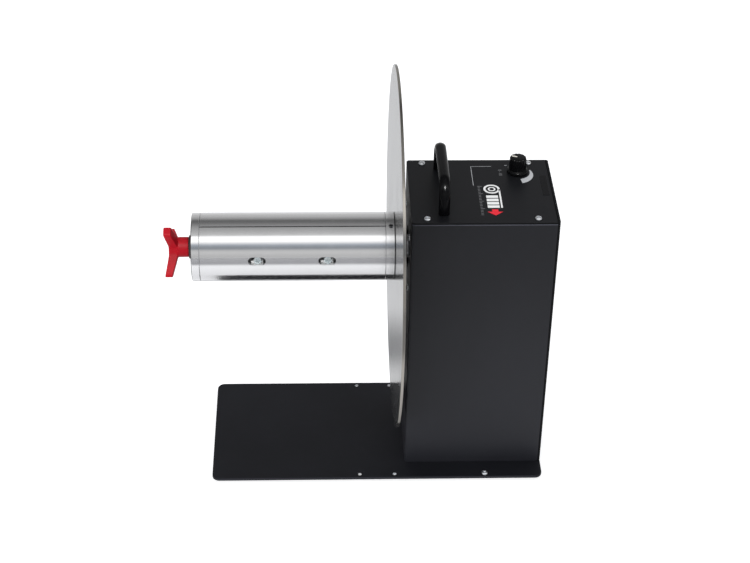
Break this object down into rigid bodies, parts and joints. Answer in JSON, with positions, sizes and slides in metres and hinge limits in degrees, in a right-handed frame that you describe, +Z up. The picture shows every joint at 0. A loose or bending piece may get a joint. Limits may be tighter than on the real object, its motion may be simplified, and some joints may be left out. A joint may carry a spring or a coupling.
{
  "type": "label unwinder",
  "caption": "Powered label unwinder: black motor housing on a base plate, cantilevered spindle with flange disc and expanding core chuck tightened by a three-arm knob.",
  "frame": {"origin": "on the ground at the centre of the bounding box's footprint, under the spindle axis", "axes": "+X from the chuck's nose to the housing's rear panel, along the spindle; +Z up; -Y is the side that the picture shows"},
  "size_m": [0.4313, 0.4, 0.4661],
  "materials": {
    "black_powder": "satin black powder coat, fine texture",
    "black_panel": "satin black powder coat",
    "zinc": "bright zinc plate",
    "dark_steel": "black oxide",
    "rubber": "matt black rubber",
    "black_plastic": "satin black moulding",
    "red_plastic": "satin red moulding",
    "washer_plastic": "dark grey plain",
    "polished_aluminium": "mirror polished",
    "turned_aluminium": "turned and polished",
    "steel": "ground steel",
    "cast_iron": "painted casting",
    "board_green": "green solder mask"
  },
  "bodies": {
    "frame": {"base_plate": "black_powder", "plate_inserts": "zinc", "edge_screws": "zinc", "rubber_feet": "rubber", "base_screws": "zinc", "housing_shell": "black_powder", "top_panel": "black_powder", "top_panel_screws": "zinc", "rear_panel": "black_panel", "rear_panel_screws": "zinc", "carry_handle": "black_plastic", "handle_screws": "zinc", "front_bearing_housing": "cast_iron", "rear_bearing_housing": "cast_iron", "bearing_housing_screws": "zinc", "bearing_outer_rings": "steel", "drive_bracket": "black_panel", "motor_gearbox": "steel", "motor_can": "steel", "motor_screws": "zinc", "drive_belt": "rubber", "control_board": "board_green", "board_components": "black_plastic", "board_standoffs": "zinc", "potentiometer": "steel", "potentiometer_nut": "zinc", "switch_body": "black_plastic", "power_inlet": "black_plastic", "inlet_nut": "zinc"},
    "spindle": {"spindle_shaft": "steel", "shaft_clip": "dark_steel", "bearing_inner_rings": "steel", "driven_pulley": "turned_aluminium", "disc_hub": "polished_aluminium", "disc_screws": "zinc", "flange_disc": "polished_aluminium", "set_screws": "dark_steel", "chuck_rear_ring": "turned_aluminium", "chuck_front_cap": "turned_aluminium"},
    "draw_sleeve": {"wedge_sleeve": "steel", "draw_nut": "steel", "cross_pin": "dark_steel", "shell_screws": "zinc", "release_springs": "dark_steel"},
    "chuck_knob": {"clamp_knob": "red_plastic", "thrust_washer": "washer_plastic", "draw_stud": "steel"},
    "shell_1": {"chuck_shell_1": "turned_aluminium"},
    "shell_2": {"chuck_shell_2": "turned_aluminium"},
    "shell_3": {"chuck_shell_3": "turned_aluminium"},
    "motor_rotor": {"motor_shaft": "steel", "motor_pulley": "turned_aluminium"},
    "tension_dial": {"tension_knob": "black_plastic", "potentiometer_shaft": "steel"},
    "rocker": {"switch_rocker": "black_plastic"}
  },
  "joints": [
    {"name": "spindle_turn", "type": "hinge", "parent": "frame", "child": "spindle", "pos_m": [0.03685, 0, 0.2661], "axis": [1, 0, 0], "continuous": true},
    {"name": "motor_turn", "type": "hinge", "parent": "frame", "child": "motor_rotor", "pos_m": [0.15675, 0, 0.1235], "axis": [1, 0, 0], "continuous": true},
    {"name": "clamp_turn", "type": "hinge", "parent": "spindle", "child": "chuck_knob", "pos_m": [-0.18575, 0, 0.2661], "axis": [1, 0, 0], "range_deg": [-216, 324]},
    {"name": "sleeve_slide", "type": "slide", "parent": "spindle", "child": "draw_sleeve", "axis": [-1, 0, 0], "range_m": [-0.003, 0.0045]},
    {"name": "shell_1_slide", "type": "slide", "parent": "spindle", "child": "shell_1", "axis": [0, -0.9893, 0.1461], "range_m": [-0.0006, 0.0009]},
    {"name": "shell_2_slide", "type": "slide", "parent": "spindle", "child": "shell_2", "axis": [0, 0.3681, -0.9298], "range_m": [-0.0006, 0.0009]},
    {"name": "shell_3_slide", "type": "slide", "parent": "spindle", "child": "shell_3", "axis": [0, 0.6211, 0.7837], "range_m": [-0.0006, 0.0009]},
    {"name": "tension_turn", "type": "hinge", "parent": "frame", "child": "tension_dial", "pos_m": [0.17325, 0.0385, 0.33808], "axis": [0, 0, -1], "range_deg": [-60, 240]},
    {"name": "rocker_tilt", "type": "hinge", "parent": "frame", "child": "rocker", "pos_m": [0.21045, 0.028, 0.0545], "axis": [0, 1, 0], "range_deg": [-10, 10]}
  ],
  "couplings": [
    {"joint": "motor_turn", "follows": "spindle_turn", "ratio": 3},
    {"joint": "clamp_turn", "follows": "sleeve_slide", "rad_per_m": 1256.6},
    {"joint": "shell_1_slide", "follows": "sleeve_slide", "ratio": 0.2},
    {"joint": "shell_2_slide", "follows": "sleeve_slide", "ratio": 0.2},
    {"joint": "shell_3_slide", "follows": "sleeve_slide", "ratio": 0.2}
  ]
}
